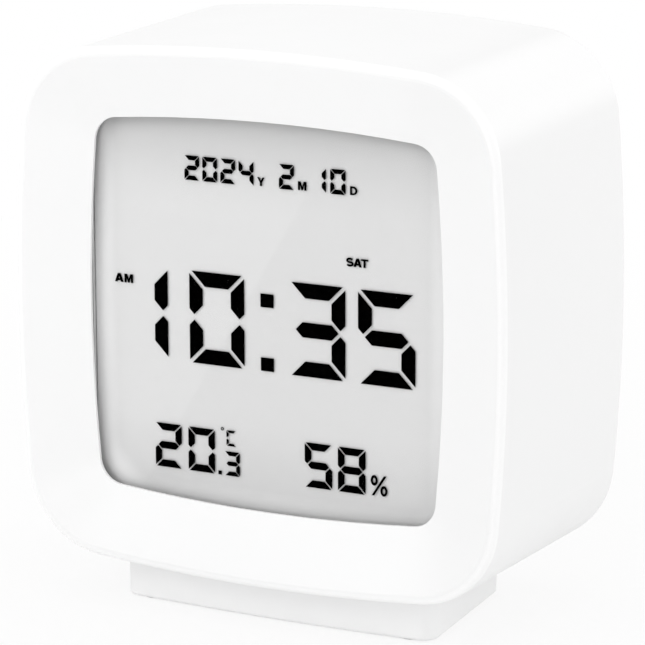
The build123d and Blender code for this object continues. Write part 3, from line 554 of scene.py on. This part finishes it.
def ground_tone_with_painted_light(tree, across, height):
    """The ground's grey, with painted shade towards the top and bottom, and painted light along
    its margins and lower corners.
    """
    side = arithmetic(tree, "ABSOLUTE", across)
    lean = arithmetic(tree, "MULTIPLY", across, PAINTED_CORNER_LIGHT_LEAN)
    towards_corner = arithmetic(tree, "SUBTRACT", arithmetic(tree, "SUBTRACT", side, lean), height)
    # Painted shade under the top and bottom lips, and painted light that lifts the shade of the
    # opening's walls at the margins.
    painted_shade_and_light = (
        (fade(tree, height, PAINTED_BOTTOM_SHADE_FADE, smooth=True), GROUND_PAINTED_BOTTOM_SHADE),
        (fade(tree, height, PAINTED_BROW_SHADE_FADE, smooth=True), GROUND_PAINTED_BROW_SHADE),
        (fade(tree, height, PAINTED_LOWER_EDGE_LIGHT_FADE), GROUND_PAINTED_EDGE_LIGHT),
        (fade(tree, side, PAINTED_SIDE_EDGE_LIGHT_FADE, smooth=True), GROUND_PAINTED_EDGE_LIGHT),
        (fade(tree, towards_corner, PAINTED_CORNER_LIGHT_FADE, smooth=True), GROUND_PAINTED_EDGE_LIGHT),
    )
    # Painted shade towards the top, where the bezel's lip would shade the ground.
    painted_top_shade_share = fade(tree, height, PAINTED_TOP_SHADE_FADE, smooth=True)
    tone = blended(tree, painted_top_shade_share, grey(GROUND_MIDDLE), grey(GROUND_PAINTED_TOP_SHADE))
    for share, level in painted_shade_and_light:
        tone = blended(tree, share, tone, grey(level))
    return tone


def painted_reflection_share(tree, across, height):
    """A faint painted reflection, paler left of a slanting edge, which fades towards the top."""
    slant = arithmetic(tree, "MULTIPLY", height, PAINTED_REFLECTION_LEAN)
    film = fade(tree, arithmetic(tree, "SUBTRACT", across, slant), PAINTED_REFLECTION_EDGE, PAINTED_REFLECTION_STRENGTH)
    return arithmetic(tree, "MULTIPLY", film, fade(tree, height, PAINTED_REFLECTION_FADE, (1.0, 0.0)))


def streak_share(tree):
    """Fine level streaks."""
    streaks = add_node(tree, "ShaderNodeTexNoise", {"Scale": 1.0, "Detail": SLOW_NOISE_DETAIL})
    stretch = add_node(tree, "ShaderNodeMapping", {"Scale": STREAK_SCALE})
    tree.links.new(coordinates(tree), stretch.inputs["Vector"])
    tree.links.new(stretch.outputs["Vector"], streaks.inputs["Vector"])
    return ranged(tree, streaks.outputs["Fac"], NARROW_NOISE_SPAN, STREAK_SHARE)


def display_ground():
    """Pale grey ground behind the figures, with painted shade and light, a faint painted
    reflection and fine streaks.
    """
    material, tree, shader = new_material("display_ground")
    across = axis_value(tree, "X")
    height = arithmetic(tree, "SUBTRACT", axis_value(tree, "Z"), DISPLAY_Z * MM)
    tone = ground_tone_with_painted_light(tree, across, height)
    # Painted reflection: a faint paler wedge across the ground.
    tone = blended(tree, painted_reflection_share(tree, across, height), tone, grey(1.0))
    colour_by(tree, shader, blended(tree, streak_share(tree), tone, grey(STREAK_TONE)))
    shader.inputs["Roughness"].default_value = 0.7
    shader.inputs["Specular IOR Level"].default_value = 0.1
    return material


def segment_ink():
    """Liquid-crystal bars: near black, without gloss."""
    material, tree, shader = new_material("segment_ink")
    colour_by(tree, shader, blended(tree, mottled(tree, 0.5), grey(0.0002), grey(0.0006)))
    shader.inputs["Roughness"].default_value = 0.9
    shader.inputs["Specular IOR Level"].default_value = 0.0
    return material


def cell_jacket():
    """Plain jacket with one pale band, and bare metal at both ends."""
    material, tree, shader = new_material("cell_jacket")
    along = axis_value(tree, "X")
    from_middle = arithmetic(tree, "ABSOLUTE", along)
    metal_end = arithmetic(tree, "GREATER_THAN", from_middle, (CELL_REACH - CELL_END_LENGTH) * MM)
    band = arithmetic(tree, "GREATER_THAN", along, CELL_BAND_START * MM)
    jacket = blended(tree, band, CELL_JACKET_COLOUR, CELL_BAND_COLOUR)
    colour_by(tree, shader, blended(tree, metal_end, jacket, CELL_METAL_COLOUR))
    tree.links.new(metal_end, shader.inputs["Metallic"])
    vary_gloss(tree, shader, grain=2.0, spread=(0.22, 0.32))
    return material


def light_guide():
    """Clear acrylic with a fine pattern of printed dots."""
    material, tree, shader = new_material("light_guide")
    dots = add_node(
        tree, "ShaderNodeTexVoronoi", {"Scale": 1 / (DOT_PITCH * MM), "Randomness": DOT_SCATTER}
    )
    tree.links.new(coordinates(tree), dots.inputs["Vector"])
    dot = ranged(tree, dots.outputs["Distance"], DOT_EDGE, (1.0, 0.0))
    colour_by(tree, shader, blended(tree, dot, (0.93, 0.95, 0.95), grey(1.0)))
    tree.links.new(ranged(tree, dot, (0.0, 1.0), (0.05, 0.6)), shader.inputs["Roughness"])
    shader.inputs["Transmission Weight"].default_value = 0.6
    return material


def dress(materials):
    """Gives each CAD node the finish of its record slot."""
    for row in frame["record"]["subparts"]:
        for slot in nodes[row["node"]].material_slots:
            slot.material = materials[row["material_slot"]]


def bar_outlines(row):
    """Outlines of a seven-bar figure's bars, from its lower left corner."""
    width, height, bar, gap = row.width, row.height, row.bar, row.gap
    middle = height / 2
    tip = TIP_SHARE * bar
    inner = bar - tip
    start = tip + MIDDLE_BAR_GAP_SHARE * gap
    half = bar / 2
    upper_left = [
        (0, height - gap),
        (bar, height - bar - gap),
        (bar, middle + gap + inner),
        (tip, middle + gap),
        (0, middle + gap + tip),
    ]
    top = [
        (gap, height),
        (width - gap, height),
        (width - bar - gap, height - bar),
        (bar + gap, height - bar),
    ]
    centre = [
        (start, middle),
        (start + half, middle + half),
        (width - start - half, middle + half),
        (width - start, middle),
        (width - start - half, middle - half),
        (start + half, middle - half),
    ]

    def right(points):
        return [(width - x, z) for x, z in points]

    def low(points):
        return [(x, height - z) for x, z in points]

    return {
        "a": top,
        "b": right(upper_left),
        "c": right(low(upper_left)),
        "d": low(top),
        "e": low(upper_left),
        "f": upper_left,
        "g": centre,
    }


def arc(x, z, across, upward, start, stop):
    """Points along an arc of an ellipse, between two angles in degrees."""
    turns = [(stop - start) * step / CURVE_STEPS for step in range(CURVE_STEPS + 1)]
    angles = [math.radians(start + turn) for turn in turns]
    return [(x + across * math.cos(angle), z + upward * math.sin(angle)) for angle in angles]


def widened(points, width):
    """The two sides of a stroke of one width along a line of points."""
    left, right = [], []
    for index, (x, z) in enumerate(points):
        before = points[max(index - 1, 0)]
        after = points[min(index + 1, len(points) - 1)]
        run, rise = after[0] - before[0], after[1] - before[1]
        reach = width / 2 / math.hypot(run, rise)
        left.append((x - rise * reach, z + run * reach))
        right.append((x + rise * reach, z - run * reach))
    return left, right


def curved_strokes(sign):
    """The curved parts of a letter, each as its two sides in shares of the letter's size."""
    if sign == "S":
        return [widened(arc(*S_UPPER_ARC) + arc(*S_LOWER_ARC)[1:], S_STROKE)]
    if sign == "D":
        outer = [(0, 0.5), (0, 0), *arc(*D_OUTER_ARC), (0, 1), (0, 0.5)]
        bore = arc(*D_INNER_ARC)
        inner = [(D_STEM, 0.5), (D_STEM, D_BAR), *bore, (D_STEM, 1 - D_BAR), (D_STEM, 0.5)]
        return [(outer, inner)]
    if sign == "%":
        return [
            (arc(x, z, *PERCENT_RING, *FULL_TURN), arc(x, z, *PERCENT_BORE, *FULL_TURN))
            for x, z in PERCENT_RING_MIDDLES
        ]
    return []


class Plates:
    """Flat shapes of one thickness, gathered into one mesh."""

    def __init__(self, front, thickness):
        self.front = front
        self.back = front + thickness
        self.vertices = []
        self.faces = []

    def add(self, outline):
        """One closed outline, given as points across and up from the display's middle."""
        following = outline[1:] + outline[:1]
        turned = sum(x0 * z1 - x1 * z0 for (x0, z0), (x1, z1) in zip(outline, following))
        points = outline if turned > 0 else outline[::-1]
        first = len(self.vertices)
        count = len(points)
        for depth in (self.front, self.back):
            self.vertices += [(DISPLAY_X + x, depth, DISPLAY_Z + z) for x, z in points]
        self.faces.append([first + index for index in range(count)])
        self.faces.append([first + count + index for index in reversed(range(count))])
        for index in range(count):
            here = first + index
            after = first + (index + 1) % count
            self.faces.append([after, here, count + here, count + after])

    def figure(self, sign, right_edge, row):
        """The lit bars of one figure."""
        outlines = bar_outlines(row)
        left = right_edge - row.width
        for name in LIT_BARS[sign]:
            self.add([(left + x, row.base + z) for x, z in outlines[name]])

    def block(self, x, z, width, height):
        """An upright rectangle about a middle."""
        left, right = x - width / 2, x + width / 2
        bottom, top = z - height / 2, z + height / 2
        self.add([(left, bottom), (right, bottom), (right, top), (left, top)])

    def band(self, first, second):
        """The strip between two lines with as many points each."""
        for index in range(len(first) - 1):
            self.add([first[index], first[index + 1], second[index + 1], second[index]])

    def ring(self, x, z, radius, bore):
        """A flat round ring."""
        outer = arc(x, z, radius, radius, *FULL_TURN)
        self.band(outer, arc(x, z, bore, bore, *FULL_TURN))

    def letter(self, sign, left, right, bottom, top):
        """A bold upright letter, fitted between its four sides."""

        def fitted(points):
            return [(left + x * (right - left), bottom + z * (top - bottom)) for x, z in points]

        for outline in LETTER_OUTLINE_SHARES.get(sign, ()):
            self.add(fitted(outline))
        for first, second in curved_strokes(sign):
            self.band(fitted(first), fitted(second))

    def piece(self, name, material):
        """The plates as one piece on the case."""
        mesh = bpy.data.meshes.new(name)
        mesh.from_pydata([Vector(point) * MM for point in self.vertices], [], self.faces)
        mesh.validate()
        return place_piece(name, mesh, material)


def segment_layer():
    """An empty layer just inside the display's front glass."""
    return Plates(lcd_low.y + SEGMENT_SINK, SEGMENT_THICKNESS)


def make_figures(ink):
    """The four read-outs, as lit bars on the display."""
    for name, rows in READ_OUTS.items():
        layer = segment_layer()
        for row, figures in rows:
            for sign, right_edge in figures:
                layer.figure(sign, right_edge, row)
        for dot in DOTS.get(name, ()):
            layer.block(*dot)
        for ring in RINGS.get(name, ()):
            layer.ring(*ring)
        layer.piece(name, ink)


def make_marks(ink):
    """Marks beside the figures: units, day and half of the day."""
    for name, (letters, bottom, top) in MARKS.items():
        mark = segment_layer()
        for sign, left, right in letters:
            mark.letter(sign, left, right, bottom, top)
        mark.piece("mark_" + name, ink)


def plate(name, low, high, material):
    """A flat sheet with softened edges, between two corners in millimetres."""
    shape = bmesh.new()
    bmesh.ops.create_cube(shape, size=1.0)
    span = high - low
    middle = (low + high) / 2
    for vertex in shape.verts:
        vertex.co = Vector(middle[axis] + vertex.co[axis] * span[axis] for axis in range(3)) * MM
    bmesh.ops.bevel(
        shape,
        geom=list(shape.edges),
        offset=PLATE_SOFTENING * MM,
        segments=SOFTENING_STEPS,
        affect="EDGES",
    )
    mesh = bpy.data.meshes.new(name)
    shape.to_mesh(mesh)
    shape.free()
    return place_piece(name, mesh, material)


def make_display(ground, clear):
    """Front glass and ground plate of the display, in place of its plain solid."""
    ground_front = lcd_low.y + FRONT_GLASS_THICKNESS
    glass_low = Vector((lcd_low.x, lcd_low.y, 2 * DISPLAY_Z - lcd_high.z))
    glass_high = Vector((lcd_high.x, ground_front + GLASS_SEAT, lcd_high.z))
    plate("display_front_glass", glass_low, glass_high, clear)
    ground_low = Vector((lcd_low.x, ground_front, lcd_low.z))
    sheet = plate("display_ground", ground_low, lcd_high, ground)
    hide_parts("lcd_panel")


def make_foot_coils(steel):
    """The foot's springs, as a piece with its own mesh, in place of their rigid solid."""
    mesh = nodes["foot_springs"].data.copy()
    coils = place_piece("foot_coils", mesh, steel)
    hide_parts("foot_springs")
    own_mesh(coils)


def make_camera():
    """Camera at the photograph's view of the clock."""
    azimuth = math.radians(CAMERA_AZIMUTH)
    elevation = math.radians(CAMERA_ELEVATION)
    roll = math.radians(CAMERA_ROLL)
    level = math.cos(elevation)
    back = Vector((math.sin(azimuth) * level, -math.cos(azimuth) * level, math.sin(elevation)))
    level_right = Vector((math.cos(azimuth), math.sin(azimuth), 0))
    level_up = back.cross(level_right)
    right = math.cos(roll) * level_right + math.sin(roll) * level_up
    up = math.cos(roll) * level_up - math.sin(roll) * level_right
    aim = Vector((DISPLAY_X, FRONT_Y, DISPLAY_Z))
    place = aim + right * CAMERA_SHIFT_RIGHT + up * CAMERA_SHIFT_UP + back * CAMERA_DISTANCE
    turn = Matrix((right, up, back)).transposed().to_4x4()
    data = bpy.data.cameras.new("photo_camera")
    data.sensor_width = SENSOR_WIDTH
    data.lens = SENSOR_WIDTH * FOCAL_PIXELS / IMAGE_PIXELS
    data.clip_start = CAMERA_NEAR
    data.clip_end = CAMERA_FAR
    camera = bpy.data.objects.new("photo_camera", data)
    camera.matrix_world = Matrix.Translation(place * MM) @ turn
    bpy.context.scene.collection.objects.link(camera)
    bpy.context.scene.camera = camera


def make_lamps():
    """Soft square lamps around the clock, each facing its target."""
    for name, (place, target, size, power) in LAMPS.items():
        data = bpy.data.lights.new(name, "AREA")
        data.size = size
        data.energy = power
        lamp = bpy.data.objects.new(name, data)
        lamp.location = place
        lamp.rotation_euler = (Vector(target) - Vector(place)).to_track_quat("-Z", "Y").to_euler()
        bpy.context.scene.collection.objects.link(lamp)


def ray_is_seen(tree):
    """1 for the rays that show what lies there, to the camera or in gloss or glass, else 0."""
    path = add_node(tree, "ShaderNodeLightPath")
    seen, *others = (path.outputs[kind] for kind in SEEN_RAYS)
    for other in others:
        seen = arithmetic(tree, "MAXIMUM", seen, other)
    return seen


def make_world():
    """Plain studio surround: ambient light on the object, and white where it is seen."""
    world = bpy.data.worlds.new("studio")
    bpy.context.scene.world = world
    world.use_nodes = True
    tree = world.node_tree
    background = tree.nodes["Background"]
    tone = blended(tree, ray_is_seen(tree), grey(AMBIENT), grey(1.0))
    tree.links.new(tone, background.inputs["Color"])
    background.inputs["Strength"].default_value = 1.0


def floor_material():
    """White floor that keeps a soft share of the object's shadow and fades to plain white."""
    material, tree, shader = new_material("studio_floor")
    shader.inputs["Base Color"].default_value = (*grey(FLOOR_TONE), 1)
    shader.inputs["Roughness"].default_value = 0.8
    shader.inputs["Specular IOR Level"].default_value = 0.0
    white = add_node(tree, "ShaderNodeEmission", {"Color": (*grey(1.0), 1), "Strength": 1.0})
    reach = add_node(tree, "ShaderNodeVectorMath", operation="LENGTH")
    tree.links.new(coordinates(tree), reach.inputs[0])
    away = ranged(tree, reach.outputs["Value"], SHADE_FADE, (1 - SHADE_SHARE, 1.0), smooth=True)
    plain = arithmetic(tree, "MULTIPLY", away, ray_is_seen(tree))
    mix_surface(tree, plain, shader.outputs["BSDF"], white.outputs["Emission"])
    return material


def make_floor():
    """A wide pale floor under the clock."""
    signs = ((-1, -1), (1, -1), (1, 1), (-1, 1))
    corners = [(FLOOR_REACH * x, FLOOR_REACH * y, 0) for x, y in signs]
    mesh = bpy.data.meshes.new("floor")
    mesh.from_pydata(corners, [], [(0, 1, 2, 3)])
    mesh.materials.append(floor_material())
    floor = bpy.data.objects.new("floor", mesh)
    bpy.context.scene.collection.objects.link(floor)


def slot_materials():
    """The finish for each of the record's material slots."""
    return {
        # grey(0.99) is the colour of the case's painted highlights and painted floor light.
        "case_plastic": case_plastic(grey(0.935), grey(0.99), roughness=0.34),
        "cover_plastic": plastic(
            "cover_plastic", grey(0.9), 0.5, grain=0.28, depth=0.03, relief=0.3
        ),
        "lens": clear_window("lens"),
        "lcd_glass": display_ground(),
        "inner_plastic": plastic("inner_plastic", grey(0.82), 0.5),
        "guide_acrylic": light_guide(),
        "reflector_film": plastic(
            "reflector_film", grey(0.94), 0.2, grain=2.0, depth=0.02, spread=0.03
        ),
        "led": plastic("led_resin", (0.93, 0.86, 0.45), 0.2, grain=0.2, spread=0.1),
        "contact_rubber": striped(
            "contact_rubber", grey(0.02), (0.6, 0.6, 0.58), pitch=0.18, roughness=0.6
        ),
        "circuit_board": circuit_board(),
        "screw_steel": metal("screw_steel", (0.62, 0.62, 0.61), 0.28),
        "black_resin": plastic(
            "black_resin", grey(0.012), 0.22, grain=1.2, depth=0.05, spread=0.3
        ),
        "bright_metal": metal("bright_metal", grey(0.82), 0.2),
        "socket_plastic": plastic("socket_plastic", (0.82, 0.78, 0.66), 0.45),
        "ribbon": striped(
            "ribbon",
            (0.75, 0.74, 0.7),
            (0.5, 0.38, 0.2),
            pitch=0.9,
            roughness=0.35,
            width_share=0.45,
        ),
        "switch_body": plastic("switch_body", grey(0.035), 0.5, spread=0.2),
        "switch_stem": plastic("switch_stem", grey(0.09), 0.45, spread=0.2),
        "sensor_body": plastic("sensor_body", (0.7, 0.7, 0.67), 0.4, spread=0.05),
        "buzzer_body": plastic("buzzer_body", grey(0.03), 0.5, spread=0.2),
        "button_plastic": plastic(
            "button_plastic", grey(0.88), 0.42, grain=0.3, depth=0.02, relief=0.2
        ),
        "cell_jacket": cell_jacket(),
        "contact_metal": metal("contact_metal", (0.78, 0.76, 0.72), 0.25),
        "pad_rubber": plastic(
            "pad_rubber", grey(0.6), 0.85, grain=0.25, depth=0.05, relief=0.4, spread=0.06
        ),
        "spring_steel": metal("spring_steel", (0.6, 0.6, 0.59), 0.3),
    }


def main():
    materials = slot_materials()
    dress(materials)
    make_display(materials["lcd_glass"], clear_window("front_glass"))
    ink = segment_ink()
    make_figures(ink)
    make_marks(ink)
    make_foot_coils(materials["spring_steel"])
    make_camera()
    make_world()
    make_lamps()
    make_floor()
    bpy.context.scene.view_settings.view_transform = "Standard"


main()
